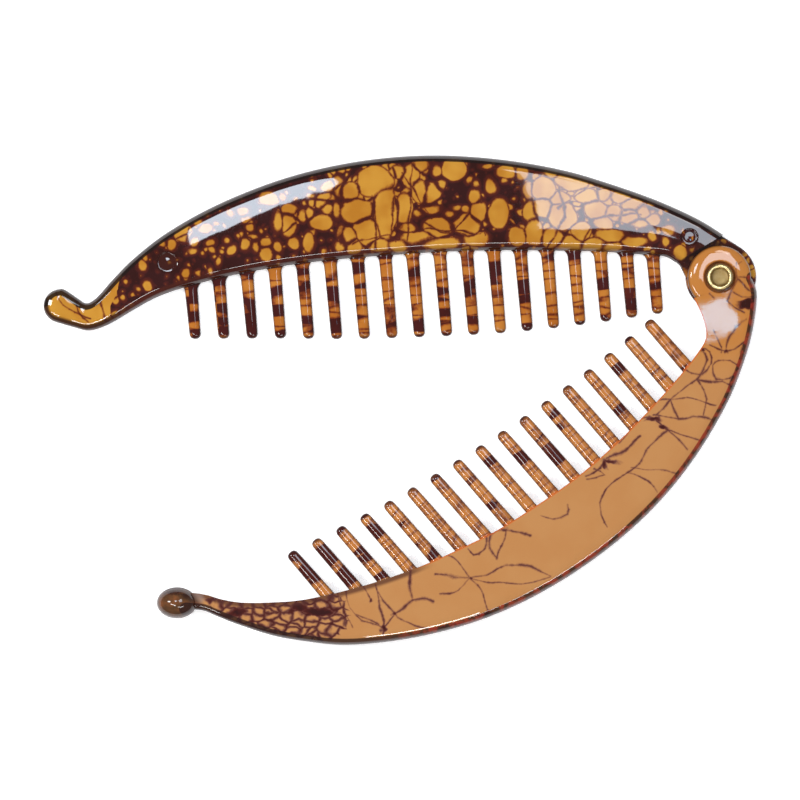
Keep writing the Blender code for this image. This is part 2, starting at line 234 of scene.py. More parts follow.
# Clear cells of the hook comb's web in the view's plan: x, y, half width, half height
HOOK_CELLS = (
    (184, 233, 9, 9), (193, 240, 5, 5), (207, 228, 7, 5), (211, 243, 4, 3), (232, 249, 4.5, 4.5),
    (192, 250, 4, 2.5), (199, 221, 4, 3), (142, 264, 4, 5), (147, 284, 5, 5), (246, 244, 4, 5),
    (253, 237, 4, 2.5), (256, 246, 3, 4), (266, 242, 5, 4.5), (265, 254, 5.5, 7), (278, 247, 4, 5.5),
    (289, 225, 7, 11), (277, 221, 4, 9), (290, 209, 7.5, 6), (295, 243, 5, 5), (309, 242, 4.5, 8),
    (302, 215, 3, 4.5), (309, 212, 3.5, 4), (321, 222, 10, 8), (327, 210, 5, 3.5), (311, 203, 3.5, 3.5),
    (320, 204, 5, 3.5), (310, 196, 4, 3), (324, 197, 6, 3.5), (328, 187, 8, 5), (339, 186, 5.5, 9),
    (337, 210, 3, 6), (342, 233, 4, 7), (312, 189, 3, 3), (270, 199, 9, 7), (281, 196, 5, 4),
    (230, 214, 4, 3), (247, 219, 4, 3), (251, 227, 3, 3), (243, 211, 4, 3), (212, 250, 2.5, 2.5),
    (219, 261, 2.5, 4), (209, 270, 2, 3), (162, 243, 4, 3), (172, 244, 5, 4), (222, 250, 1.6, 1.6),
    (187, 273, 3.5, 3.5), (126, 282, 2, 2), (137, 289, 1.6, 1.6), (145, 257, 3, 2.5),
    (203, 254, 1.5, 1.5), (214, 256, 1.3, 1.3), (226, 240, 2, 2), (238, 236, 1.6, 1.6),
    (262, 230, 1.5, 1.5), (375, 181, 18, 15), (385, 211, 12, 28), (357, 210, 16, 12),
    (367, 231, 13, 13), (348, 235, 8, 8), (352, 247, 9, 7), (351, 191, 9, 9), (404, 209, 7, 15),
    (411, 176, 9, 11), (419, 191, 8, 11), (341, 247, 6, 5), (421, 165, 8, 5), (432, 192, 8, 9),
    (438, 227, 14, 9.5), (454, 169, 12, 12), (466, 225, 12, 10), (398, 172, 8, 6), (477, 239, 12, 7),
    (441, 243, 17, 5), (417, 238, 15, 6), (475, 196, 5.5, 7), (479, 211, 7, 10), (398, 246, 9, 6),
    (491, 186, 5, 7), (506, 171, 8, 6.5), (522, 172, 6, 7), (499, 213, 10, 14), (465, 210, 4, 3),
    (380, 246, 10, 7), (475, 184, 2.5, 3), (487, 166, 4, 2.5), (431, 209, 7, 3), (417, 214, 4, 2.5),
    (441, 185, 4, 4), (437, 170, 4, 5), (517, 236, 9, 9), (407, 227, 7, 5), (456, 208, 3, 2),
    (449, 213, 3, 2), (534, 234, 10, 12), (529, 212, 7, 10), (543, 188, 12, 11), (542, 208, 11, 9),
    (573, 179, 17, 11), (586, 196, 12, 8), (562, 216, 14, 13), (528, 190, 5, 8), (581, 230, 9, 9),
    (596, 209, 11, 9), (603, 223, 9, 7), (613, 212, 8, 7), (621, 197, 9, 6), (603, 194, 7, 5),
    (632, 205, 11, 6), (628, 216, 9, 6), (643, 211, 7, 6), (653, 219, 7, 6), (610, 235, 14, 6),
    (640, 224, 7, 3), (634, 241, 11, 5), (651, 236, 4, 4), (664, 241, 3.5, 5), (680, 252, 6, 6),
    (569, 244, 14, 8), (668, 229, 6, 4), (592, 245, 13, 7), (552, 238, 10, 10), (560, 199, 9, 7),
    (553, 172, 9, 5), (612, 247, 10, 5), (702, 262, 4, 5),
)

# Painted shade in the ejector dent by the hook and in the recess round the disc at the hinge: x, y, half
# width, half height, strength
HOOK_PAINTED_SHADE = (
    (168, 262, 13, 12, 0.9), (712, 247, 22, 9, 1.0), (690, 262, 8, 12, 0.8), (741, 247, 10, 8, 1.0),
)

# Thin strands over the hook comb's cells: half width, then x and y of each point
HOOK_STRANDS = (
    (0.5, 371, 195, 375, 215, 376, 250),
    (0.5, 392, 165, 397, 190, 391, 215, 396, 240),
    (0.4, 402, 172, 424, 206, 432, 218),
    (0.5, 352, 243, 375, 237, 402, 234, 427, 229, 480, 233),
    (0.4, 425, 222, 440, 231, 466, 235),
    (0.5, 452, 234, 470, 214, 486, 236),
    (0.4, 407, 246, 412, 160),
    (0.5, 176, 240, 196, 228, 190, 222),
    (0.4, 186, 242, 190, 224),
    (0.5, 283, 232, 298, 222),
    (0.4, 330, 195, 346, 182),
    (0.5, 560, 208, 590, 184, 600, 176),
    (0.6, 546, 250, 560, 222, 566, 208, 552, 178),
    (0.5, 580, 250, 596, 218, 640, 214),
)

# Cracks in the plain plastic of its hook and neck, in the same columns
HOOK_NECK_STRANDS = (
    (0.4, 100, 300, 104, 318),
    (0.35, 57, 292, 63, 303, 74, 312, 90, 318),
    (0.35, 76, 300, 78, 312, 88, 322),
)

# The hook and its neck are plain where x + NECK_SLANT * y in the view's plan is less than this
NECK_SLANT = 0.35
NECK_PLAIN = (219.0, 216.0)

# The lines between the cells grow thin over this stretch of x in the view's plan
THIN_LINES = (500.0, 545.0)

# Where the hook comb's web is dark, or clear if less than 0: x, y, half width, half height, strength
HOOK_SHADES = (
    (400, 230, 500, 200, 0.75), (240, 235, 105, 70, 0.9), (150, 265, 40, 40, 0.7),
    (310, 235, 40, 55, 0.5), (455, 195, 30, 40, 0.9), (488, 175, 34, 24, 0.8), (505, 235, 26, 22, 0.8),
    (412, 225, 18, 22, 0.4), (690, 240, 24, 30, 0.8), (640, 237, 50, 10, 0.6), (620, 190, 60, 30, -0.4),
)

# Strands on the ball comb in the view's plan, in the same columns
BALL_STRANDS = (
    (0.6, 498, 558, 490, 547, 489, 534, 503, 528, 518, 530, 529, 536),
    (0.7, 498, 558, 500, 545, 505, 528),
    (0.6, 469, 546, 476, 552, 486, 547, 485, 534),
    (0.6, 440, 552, 460, 566, 473, 577, 483, 593, 487, 612),
    (0.45, 436, 573, 473, 577, 497, 567, 520, 563, 540, 569, 552, 575),
    (0.4, 473, 578, 507, 583, 552, 576),
    (0.4, 440, 593, 460, 587, 473, 577),
    (0.25, 540, 513, 553, 517, 568, 513, 570, 504),
    (0.6, 667, 432, 647, 450, 628, 470, 607, 490, 601, 513, 607, 526),
    (0.4, 627, 471, 647, 481, 658, 490),
    (0.35, 630, 465, 673, 473),
    (0.9, 621, 441, 640, 418, 657, 423, 668, 432),
    (0.6, 653, 417, 693, 416, 713, 419),
    (0.7, 657, 416, 673, 400, 687, 387, 698, 377, 704, 362, 698, 352),
    (0.5, 673, 400, 678, 416),
    (0.5, 668, 431, 701, 441),
    (0.4, 662, 428, 688, 449),
    (0.5, 698, 378, 723, 380, 735, 389),
    (0.5, 685, 368, 700, 373, 709, 366, 707, 354, 699, 350),
    (0.9, 708, 346, 727, 349, 743, 342),
    (0.5, 727, 349, 733, 326, 745, 318),
    (0.4, 717, 362, 730, 359, 738, 367, 731, 378, 716, 377, 711, 368, 717, 362),
    (0.5, 743, 343, 738, 362, 724, 404),
    (0.4, 659, 401, 687, 399, 716, 406),
    (0.4, 698, 378, 706, 398, 704, 416),
    (0.8, 582, 475, 600, 467, 608, 457, 627, 447, 641, 438),
    (0.5, 592, 467, 604, 475, 583, 478),
    (0.6, 735, 262, 739, 280, 752, 290),
    (0.6, 739, 281, 729, 300, 744, 312),
    (0.4, 712, 330, 722, 345, 721, 352),
    (0.7, 377, 583, 380, 602, 382, 618, 383, 634),
    (0.6, 411, 570, 412, 598),
    (0.7, 379, 591, 392, 612, 412, 600, 434, 601),
    (0.7, 392, 612, 382, 628),
    (0.5, 392, 612, 402, 621, 432, 628, 462, 624),
    (0.5, 360, 581, 371, 601),
    (0.4, 347, 587, 350, 605, 362, 620, 381, 626),
    (0.4, 337, 591, 343, 611, 352, 628),
    (0.35, 355, 612, 377, 624),
    (0.4, 731, 268, 741, 262),
    (0.4, 734, 280, 752, 277),
    (0.4, 731, 288, 742, 294, 754, 294),
    (0.4, 708, 292, 714, 297),
)

# Knots where strands meet, and dark blots, of which (749, 303) is painted shade in the gap at the edge of
# the hook comb's lug beside the disc: x, y, half width, half height
BALL_KNOTS_AND_GAP_SHADE = (
    (611, 459, 8, 2.5), (606, 463, 3, 5), (654, 421, 8, 3), (664, 429, 5, 3.5), (503, 528, 3, 1.5),
    (382, 628, 4, 4.5), (317, 610, 19, 6), (300, 606, 8, 4), (236, 613, 11, 4), (473, 577, 2, 2),
    (749, 303, 11, 7), (487, 614, 12, 4), (371, 601, 2, 2.5), (699, 353, 3, 2.5), (727, 349, 3, 2.5),
    (392, 612, 2, 2), (211, 601, 6, 3),
)

# Where the ball comb carries a dense web: x, y, half width, half height, strength
BALL_SHADES = ((265, 615, 85, 45, 1.0), (330, 610, 34, 40, 0.6))

# A painted grey haze of refracted light where the neck meets the ball
BALL_COLLAR_PAINTED_LIGHT = ((197, 598, 8, 7, 1.0),)

# Where a look starts and where it is full, in mm: the teeth by the distance from the blade's inner edge,
# the painted shade of the rim by that from its outer edge, the painted shade of the caps by that from the
# tip,
# and two rings by that from the hinge: the painted shade in the rivet's seat, and the rivet's dish
TEETH_START = (0.2, -0.35)
RIM_START = (1.42, 1.25)
CAP_START = (1.0, 0.2)
SEAT_SHADE_RING = (3.35, 3.1)
DISH_RING = (1.85, 1.5)


def smooth_rows(rows, steps):
    """Catmull-Rom curve through rows of any number of columns, with the given steps between rows."""
    result = []
    for i in range(len(rows) - 1):
        before = rows[max(i - 1, 0)]
        start = rows[i]
        end = rows[i + 1]
        after = rows[min(i + 2, len(rows) - 1)]
        for k in range(steps):
            t = k / steps
            result.append(tuple(
                0.5 * (2 * b + (c - a) * t + (2 * a - 5 * b + 4 * c - d) * t ** 2
                       + (3 * b - a - 3 * c + d) * t ** 3)
                for a, b, c, d in zip(before, start, end, after)
            ))
    result.append(tuple(rows[-1]))
    return result


def height_at(curve, u):
    """The v of a (u, v, ...) curve at u, on straight lines between its points."""
    for first, second in zip(curve, curve[1:]):
        if first[0] <= u <= second[0]:
            share = (u - first[0]) / (second[0] - first[0])
            return first[1] + (second[1] - first[1]) * share
    raise ValueError("u is past the end of the curve")


def linked(name, data):
    thing = bpy.data.objects.new(name, data)
    bpy.context.scene.collection.objects.link(thing)
    return thing


def object_of(name, shell):
    """An object with the mesh of a bmesh, which is freed."""
    mesh = bpy.data.meshes.new(name)
    shell.to_mesh(mesh)
    shell.free()
    return linked(name, mesh)


def mesh_object(name, rings):
    """A closed solid through rings of points in millimetres, capped at both ends."""
    shell = bmesh.new()
    loops = [[shell.verts.new(Vector(point) * MM) for point in ring] for ring in rings]
    count = len(loops[0])
    for lower, upper in zip(loops, loops[1:]):
        for i in range(count):
            j = (i + 1) % count
            shell.faces.new((lower[i], lower[j], upper[j], upper[i]))
    shell.faces.new(loops[0][::-1])
    shell.faces.new(loops[-1])
    bmesh.ops.recalc_face_normals(shell, faces=shell.faces)
    return object_of(name, shell)


def turned(name, profile, segments, centre=(0.0, 0.0), side=1):
    """A turned solid on a vertical axis at a comb's (u, v), from (radius, z) points."""
    x, y = -centre[0], side * centre[1]
    turn = [2 * pi * k / segments for k in range(segments)]
    rings = [
        [(x + radius * cos(angle), y + radius * sin(angle), z) for angle in turn]
        for radius, z in profile
    ]
    return mesh_object(name, rings)


def ellipsoid(name, centre, size, turn, side):
    """An ellipsoid in a comb's plan, turned about the vertical by an angle in degrees."""
    shell = bmesh.new()
    bmesh.ops.create_uvsphere(shell, u_segments=56, v_segments=32, radius=1.0)
    place = (
        Matrix.Translation(Vector((-centre[0], side * centre[1], centre[2])) * MM)
        @ Matrix.Rotation(radians(turn), 4, "Z")
        @ Matrix.Diagonal((size[0] * MM, size[1] * MM, size[2] * MM, 1.0))
    )
    bmesh.ops.transform(shell, matrix=place, verts=shell.verts)
    return object_of(name, shell)


def section_points(width, inner_margin):
    """Points round a blade of this width: place across it from 0 at its inner edge, and share of height."""
    margin = min(1.0, width / FULL_MARGIN_WIDTH)
    points = [(inset * margin / width, share) for inset, share in inner_margin]
    start = points[-1][0]
    end = 1 - OUTER_MARGIN[0][0] * margin / width
    for k in range(1, BACK_COLUMNS):
        t = k / BACK_COLUMNS
        points.append((start + (end - start) * t, 1 - CROWN * (2 * t - 1) ** 2))
    points += [(1 - inset * margin / width, share) for inset, share in OUTER_MARGIN]
    start = points[-1][0]
    end = points[0][0]
    points += [(start + (end - start) * k / FRONT_COLUMNS, 0.0) for k in range(1, FRONT_COLUMNS)]
    return points


def comb_body(name, stations, side, inner_margin):
    """The blade of a comb, from the hinge to its far end. side is 1 where the outer edge is at +y."""
    rings = []
    for inner_u, inner_v, outer_u, outer_v, front, back in stations:
        inner = Vector((inner_u, inner_v))
        across = Vector((outer_u, outer_v)) - inner
        ring = []
        for place, share in section_points(across.length, inner_margin):
            point = inner + across * place
            ring.append((-point.x, side * point.y, max(0.0, front + (back - front) * share)))
        rings.append(ring)
    return mesh_object(name, rings)


def rounded_square(angle):
    """A point on a unit square whose corners are rounded."""
    c = cos(angle)
    s = sin(angle)
    size = (abs(c) ** TOOTH_SQUARENESS + abs(s) ** TOOTH_SQUARENESS) ** (-1 / TOOTH_SQUARENESS)
    return c * size, s * size


def tooth(name, u, root_v, tip_v, front, into, flared, side):
    """One tooth from inside the blade to its domed tip. into is +1 or -1: from the front to the back."""
    middle_z = front + into * (TOOTH_SET_BACK + LAYER) / 2
    half_depth = (LAYER - TOOTH_SET_BACK) / 2
    root_half = TOOTH_WIDTH / 2
    tip_half = TOOTH_TIP_WIDTH / 2
    length = root_v - tip_v
    rows = [(-TOOTH_ROOT_DEPTH, root_half, 1.0)]
    if flared:
        rows += [(along, root_half + wider, 1.0) for along, wider in TOOTH_FLARE]
    start = rows[-1]
    for k in range(1, 5):
        share = k / 5
        along = start[0] + (length - TOOTH_DOME[0][0] - start[0]) * share
        rows.append((along, root_half + (tip_half - root_half) * share, 1.0))
    rows += [(length - back, tip_half * share, depth) for back, share, depth in TOOTH_DOME]
    corners = [rounded_square(2 * pi * (k + 0.5) / TOOTH_SIDES) for k in range(TOOTH_SIDES)]
    rings = []
    for along, half, depth in rows:
        v = root_v - along
        rings.append([
            (-(u + x * half), side * v, middle_z + z * half_depth * depth)
            for x, z in corners
        ])
    return mesh_object(name, rings)


def comb_teeth(name, stations, tips, places, front, into, flared, side):
    """The row of teeth of one comb, each from the blade's inner edge to the curve of the tips."""
    count, first, pitch, growth = places
    tip_curve = smooth_rows(tips, STEPS_PER_STATION)
    teeth = []
    for i in range(count):
        u = first + pitch * i + growth * i * i
        tip_v = height_at(tip_curve, min(max(u, tips[0][0]), tips[-1][0]))
        root_v = height_at(stations, u)
        teeth.append(tooth(f"{name}_tooth_{i + 1:02d}", u, root_v, tip_v, front, into, flared, side))
    return teeth


def lug(name):
    """The hook comb's half-thickness end under the ball comb's disc, in the comb's plan."""
    first, last = LUG_ARC
    steps = 72
    turn = [radians(first + (last - first) * k / steps) for k in range(steps + 1)]
    outline = [
        (LUG_CENTRE[0] + LUG_RADIUS * cos(angle), LUG_CENTRE[1] + LUG_RADIUS * sin(angle))
        for angle in turn
    ]
    outline += LUG_ROOT
    layers = ((0.2, 0.0), (0.0, 0.2), (0.0, LAYER - 0.2), (0.2, LAYER))
    rings = []
    for less, z in layers:
        scale = 1 - less / LUG_RADIUS
        rings.append([(-u * scale, v * scale, z) for u, v in outline])
    return mesh_object(name, rings)


def disc(name):
    """The ball comb's half-thickness end, with its pillow-shaped top edge."""
    bottom = THICKNESS - LAYER
    chamfer = 0.2
    profile = [(DISC_RADIUS - chamfer, bottom), (DISC_RADIUS, bottom + chamfer)]
    profile += [(DISC_RADIUS - less, THICKNESS - depth) for less, depth in DISC_EDGE]
    return turned(name, profile, 120)


def hinge_hole(name, seat_floor, seat_mouth):
    """The cutter for the rivet's hole, and for the wider seat from its floor to its open face."""
    outward = 1 if seat_mouth > seat_floor else -1
    profile = (
        (HOLE_RADIUS, seat_floor - outward * THICKNESS),
        (HOLE_RADIUS, seat_floor),
        (SEAT_RADIUS - 0.12, seat_floor),
        (SEAT_RADIUS, seat_floor + outward * 0.12),
        (SEAT_RADIUS, seat_mouth - outward * 0.12),
        (SEAT_RADIUS + 0.14, seat_mouth + outward * 0.04),
        (SEAT_RADIUS + 0.14, seat_mouth + outward * CUT_PAST),
    )
    return turned(name, profile, 96)


def ejector_dent(name, u, v, radius, face, side):
    """The cutter for a shallow round dent with a softened rim."""
    floor = face - DENT_DEPTH
    profile = (
        (radius * 0.35, floor + 0.05),
        (radius - 0.4, floor),
        (radius - 0.12, floor + 0.03),
        (radius, floor + 0.12),
        (radius + 0.04, face),
        (radius + 0.25, face + 0.3),
        (radius + 0.25, face + CUT_PAST),
    )
    return turned(name, profile, 64, (u, v), side)


def merged(target, added, cutters):
    """One solid in place of the target: the added solids joined to it, then the cutters taken out."""
    for label, operation, operands in (("join", "UNION", added), ("cut", "DIFFERENCE", cutters)):
        group = bpy.data.collections.new(f"{target.name}_{label}")
        bpy.context.scene.collection.children.link(group)
        for operand in operands:
            for holder in list(operand.users_collection):
                holder.objects.unlink(operand)
            group.objects.link(operand)
        modifier = target.modifiers.new(label, "BOOLEAN")
        modifier.operation = operation
        modifier.operand_type = "COLLECTION"
        modifier.collection = group
        modifier.solver = "EXACT"
    bpy.context.view_layer.update()
    shown = target.evaluated_get(bpy.context.evaluated_depsgraph_get())
    mesh = bpy.data.meshes.new_from_object(shown)
    name = target.name
    for thing in (target, *added, *cutters):
        bpy.data.objects.remove(thing, do_unlink=True)
    for label in ("join", "cut"):
        bpy.data.collections.remove(bpy.data.collections[f"{name}_{label}"])
    mesh.name = name
    return linked(name, mesh)


def set_down(thing, turn, material, sharp_angle):
    """Dresses a piece that is in a comb's plan, and sets its mesh down at the hinge."""
    thing.data.materials.clear()
    thing.data.materials.append(material)
    thing.data.shade_smooth()
    thing.data.set_sharp_from_angle(angle=radians(sharp_angle))
    at_hinge = Matrix.Translation((HINGE_AT[0] * MM, HINGE_AT[1] * MM, 0.0))
    thing.data.transform(at_hinge @ Matrix.Rotation(radians(turn), 4, "Z"))


def rounded_end():
    """Stations round the hook's far end, whose plan is part of a circle."""
    rows = []
    for past, front, back in HOOK_END_ROWS:
        middle = Vector(HOOK_END_AT) + past * Vector(HOOK_END_ALONG)
        half = (HOOK_END_RADIUS ** 2 - past ** 2) ** 0.5
        across = half * Vector((-HOOK_END_ALONG[1], HOOK_END_ALONG[0]))
        rows.append((*(middle - across), *(middle + across), front, back))
    return tuple(rows)


def hook_comb(material):
    side = 1
    stations = smooth_rows(HOOK_COMB_STATIONS + rounded_end(), STEPS_PER_STATION)
    comb = comb_body("hook_comb_shell", stations, side, INNER_MARGIN)
    added = comb_teeth("hook_comb", stations, HOOK_COMB_TIPS, HOOK_COMB_TEETH, 0.0, 1, True, side)
    added.append(lug("hook_comb_lug"))
    cutters = [hinge_hole("lug_hole", SEAT_DEPTH, 0.0)]
    for i, (u, v, radius, face) in enumerate(EJECTOR_DENTS, 1):
        cutters.append(ejector_dent(f"ejector_dent_{i}", u, v, radius, face, side))
    comb = merged(comb, added, cutters)
    edge_distances(comb, stations, HOOK_COMB_TIPS, side)
    set_down(comb, HOOK_COMB_TURN, material, 38)
    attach(comb, "hook_comb")
    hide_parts("hook_comb")


def ball_comb(material):
    side = -1
    stations = smooth_rows(BALL_COMB_STATIONS, STEPS_PER_STATION)
    comb = comb_body("ball_comb_shell", stations, side, SHARP_INNER_MARGIN)
    added = comb_teeth("ball_comb", stations, BALL_COMB_TIPS, BALL_COMB_TEETH, THICKNESS, -1, False, side)
    added.append(disc("ball_comb_disc"))
    added.append(ellipsoid("ball_comb_ball", BALL_AT, BALL_SIZE, BALL_TURN, side))
    pocket = ((LUG_POCKET_RADIUS, -CUT_PAST), (LUG_POCKET_RADIUS, THICKNESS - LAYER))
    cutters = [turned("lug_pocket", pocket, 96), hinge_hole("disc_hole", THICKNESS - SEAT_DEPTH, THICKNESS)]
    comb = merged(comb, added, cutters)
    edge_distances(comb, stations, BALL_COMB_TIPS, side)
    set_down(comb, BALL_COMB_TURN, material, 38)
    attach(comb, "ball_comb")
    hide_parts("ball_comb")


def rivet(material):
    part = turned("brass_rivet", RIVET_PROFILE, 96)
    set_down(part, 0.0, material, 50)
    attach(part, "hook_comb")
    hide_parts("hinge_rivet")


class Graph:
    """Short names for adding nodes to one node tree."""

    def __init__(self, tree):
        self.tree = tree

    def feed(self, socket, value):
        if isinstance(value, bpy.types.NodeSocket):
            self.tree.links.new(value, socket)
        elif value is not None:
            socket.default_value = value

    def add(self, kind, values=(), named=None, **settings):
        """A new node. values go to its sockets in their order, and named ones by their names."""
        node = self.tree.nodes.new(kind)
        for name, value in settings.items():
            setattr(node, name, value)
        for socket, value in zip(node.inputs, values):
            self.feed(socket, value)
        for name, value in (named or {}).items():
            self.feed(node.inputs[name], value)
        return node

    def math(self, operation, *values, clamp=False):
        return self.add("ShaderNodeMath", values, operation=operation, use_clamp=clamp).outputs[0]

    def times(self, *values, clamp=False):
        return self.math("MULTIPLY", *values, clamp=clamp)

    def minus(self, *values):
        return self.math("SUBTRACT", *values)

    def vector(self, operation, *values):
        node = self.add("ShaderNodeVectorMath", values, operation=operation)
        return node.outputs["Value" if operation in ("LENGTH", "DOT_PRODUCT") else "Vector"]

    def smooth(self, value, start, end):
        """0 where value is at start, 1 where it is at end, and a smooth step between."""
        node = self.add("ShaderNodeMapRange", (value, start, end, 0.0, 1.0))
        node.interpolation_type = "SMOOTHSTEP"
        node.clamp = False
        return node.outputs[0]

    def blend(self, share, first, second):
        """Two numbers mixed by a share."""
        return self.add("ShaderNodeMix", (share, None, first, second), data_type="FLOAT").outputs[0]

    def mix(self, share, first, second, how="MIX"):
        """Two colours mixed by a share."""
        node = self.add("ShaderNodeMix", data_type="RGBA", blend_type=how)
        for socket, value in zip((node.inputs[0], node.inputs[6], node.inputs[7]), (share, first, second)):
            self.feed(socket, value)
        return node.outputs[2]

    def ramp(self, value, stops):
        """A colour ramp: stops are (place, colour)."""
        node = self.add("ShaderNodeValToRGB", (value,))
        points = node.color_ramp.elements
        while len(points) < len(stops):
            points.new(0.5)
        for point, (position, colour) in zip(points, stops):
            point.position = position
            point.color = colour
        return node.outputs[0]

    def noise(self, place, scale, detail=2.0, dimensions="2D", roughness=0.5, output="Fac"):
        named = {"Vector": place, "Scale": scale, "Detail": detail, "Roughness": roughness}
        return self.add("ShaderNodeTexNoise", named=named, noise_dimensions=dimensions).outputs[output]

    def voronoi(self, place, scale, feature, dimensions="2D", randomness=1.0):
        named = {"Vector": place, "Scale": scale, "Randomness": randomness}
        return self.add("ShaderNodeTexVoronoi", named=named, feature=feature, voronoi_dimensions=dimensions)

    def warped(self, place, scale, reach, detail=2.0):
        """The place moved about by a noise, by up to half of reach each way."""
        shift = self.noise(place, scale, detail, output="Color")
        shift = self.vector("SUBTRACT", shift, (0.5, 0.5, 0.5))
        return self.vector("MULTIPLY_ADD", shift, (reach, reach, 0.0), place)


def srgb(text):
    """A colour for a shader from six hex digits as seen on a screen."""
    parts = [int(text[i:i + 2], 16) / 255 for i in (0, 2, 4)]
    return tuple(c / 12.92 if c <= 0.04045 else ((c + 0.055) / 1.055) ** 2.4 for c in parts) + (1.0,)


def view_place(graph):
    """The place on the resting clip in the view's plan, at any height."""
    own = graph.add("ShaderNodeTexCoord").outputs["Object"]
    unit = VIEW_UNIT * MM
    return graph.vector("MULTIPLY_ADD", own, (1 / unit, -1 / unit, 0.0), (*VIEW_CENTRE, 0.0))


def comb_place(graph, turn, side):
    """The u and the v of a comb's plan, in millimetres."""
    own = graph.add("ShaderNodeTexCoord").outputs["Object"]
    c = cos(radians(turn)) / MM
    s = sin(radians(turn)) / MM
    moved = graph.vector("SUBTRACT", own, (HINGE_AT[0] * MM, HINGE_AT[1] * MM, 0.0))
    u = graph.vector("DOT_PRODUCT", moved, (-c, -s, 0.0))
    v = graph.vector("DOT_PRODUCT", moved, (-s * side, c * side, 0.0))
    return u, v


def hinge_distance(graph):
    """How far a place is from the rivet's axis, in millimetres."""
    own = graph.add("ShaderNodeTexCoord").outputs["Object"]
    scale = (1 / MM, 1 / MM, 0.0)
    moved = graph.vector("MULTIPLY_ADD", own, scale, (-HINGE_AT[0], -HINGE_AT[1], 0.0))
    return graph.vector("LENGTH", moved)


def attribute(graph, name):
    """A distance that edge_distances keeps with the mesh, in mm."""
    return graph.add("ShaderNodeAttribute", attribute_name=name).outputs["Fac"]


def in_groups(graph, name, place, chart, labels, build):
    """What build makes of each part of a chart at a place, with each part's nodes in a group of its own."""
    results = []
    for start in range(0, len(chart), GROUP_SIZE):
        tree = bpy.data.node_groups.new(name, "ShaderNodeTree")
        tree.interface.new_socket("Place", in_out="INPUT", socket_type="NodeSocketVector")
        for label in labels:
            tree.interface.new_socket(label, in_out="OUTPUT", socket_type="NodeSocketFloat")
        inner = Graph(tree)
        inner_place = inner.add("NodeGroupInput").outputs["Place"]
        inner.add("NodeGroupOutput", build(inner, inner_place, chart[start:start + GROUP_SIZE]))
        node = graph.add("ShaderNodeGroup", node_tree=tree)
        graph.feed(node.inputs["Place"], place)
        results.append([node.outputs[label] for label in labels])
    return results


def patch_distance(graph, place, x, y, half_width, half_height):
    """How far a place is from the middle of an oval patch: 1 at its edge."""
    scale = (1 / half_width, 1 / half_height, 0.0)
    local = graph.vector("MULTIPLY_ADD", place, scale, (-x / half_width, -y / half_height, 0.0))
    return graph.vector("LENGTH", local)


def cell_depths(graph, place, cells):
    """How far inside the nearest of some clear cells a place is, and the same for the next nearest."""
    nearest = next_one = -FAR
    for x, y, half_width, half_height in cells:
        away = patch_distance(graph, place, x, y, half_width, half_height)
        reach = min(half_width, half_height)
        inside = graph.math("MULTIPLY_ADD", away, -reach, reach)
        next_one = graph.math("MAXIMUM", next_one, graph.math("MINIMUM", nearest, inside))
        nearest = graph.math("MAXIMUM", nearest, inside)
    return nearest, next_one


def charted_cells(graph, place, cells):
    """How far inside the nearest cell of a chart a place is, and the same for the next nearest."""
    nearest = next_one = -FAR
    for first, second in in_groups(graph, "cells", place, cells, ("First", "Second"), cell_depths):
        both = graph.math("MAXIMUM", next_one, second)
        next_one = graph.math("MAXIMUM", both, graph.math("MINIMUM", nearest, first))
        nearest = graph.math("MAXIMUM", nearest, first)
    return nearest, next_one


def strand_distance(graph, place, segments):
    """How far a place is from the edge of the nearest of some straight pieces of strand."""
    nearest = FAR
    for half_width, start, end in segments:
        along = Vector((end[0] - start[0], end[1] - start[1], 0.0))
        moved = graph.vector("SUBTRACT", place, (start[0], start[1], 0.0))
        share = graph.vector("DOT_PRODUCT", moved, tuple(along / along.length_squared))
        share = graph.math("MINIMUM", graph.math("MAXIMUM", share, 0.0), 1.0)
        off = graph.vector("SUBTRACT", moved, graph.vector("SCALE", tuple(along), None, None, share))
        away = graph.minus(graph.vector("LENGTH", off), half_width)
        nearest = graph.math("SMOOTH_MIN", nearest, away, STRAND_ROUNDING)
    return (nearest,)


def charted_strands(graph, place, strands):
    """How far a place is from the edge of the nearest charted strand; less than 0 inside one."""
    segments = []
    for half_width, *places in strands:
        points = list(zip(places[::2], places[1::2]))
        curve = smooth_rows(points, STRAND_STEPS) if len(points) > 2 else points
        segments += [(half_width, start, end) for start, end in zip(curve, curve[1:])]
    thin = graph.minus(graph.noise(place, 0.07, 1.0), 0.5)
    nearest = FAR
    for (away,) in in_groups(graph, "strands", place, segments, ("Distance",), strand_distance):
        nearest = graph.math("MINIMUM", nearest, away)
    return graph.math("MULTIPLY_ADD", thin, 2.0, nearest)


def shade_sum(graph, place, patches):
    total = 0.0
    for *patch, strength in patches:
        share = graph.smooth(patch_distance(graph, place, *patch), 1.25, 0.55)
        total = graph.math("MULTIPLY_ADD", share, strength, total)
    return (total,)


def charted_shade(graph, place, patches):
    """The sum of soft round patches, each with its own strength."""
    total = 0.0
    for (part,) in in_groups(graph, "shades", place, patches, ("Sum",), shade_sum):
        total = graph.math("ADD", total, part)
    return total


def web_cells(graph, place, size, dark):
    """How far inside a clear cell of the web a place is. Where dark is 1, the cells shrink to bubbles."""
    scale = 1 / size
    edge = graph.voronoi(place, scale, "DISTANCE_TO_EDGE").outputs["Distance"]
    middle = graph.voronoi(place, scale, "F1")
    own = graph.add("ShaderNodeSeparateColor", (middle.outputs["Color"],)).outputs[0]
    bubble = graph.math("MULTIPLY_ADD", own, 0.6, -0.3)
    reach = graph.blend(dark, 1.1, bubble)
    from_bubble = graph.minus(reach, middle.outputs["Distance"])
    line = graph.blend(dark, 0.03, 0.08)
    from_line = graph.minus(edge, line)
    return graph.times(graph.math("MINIMUM", from_bubble, from_line), size)


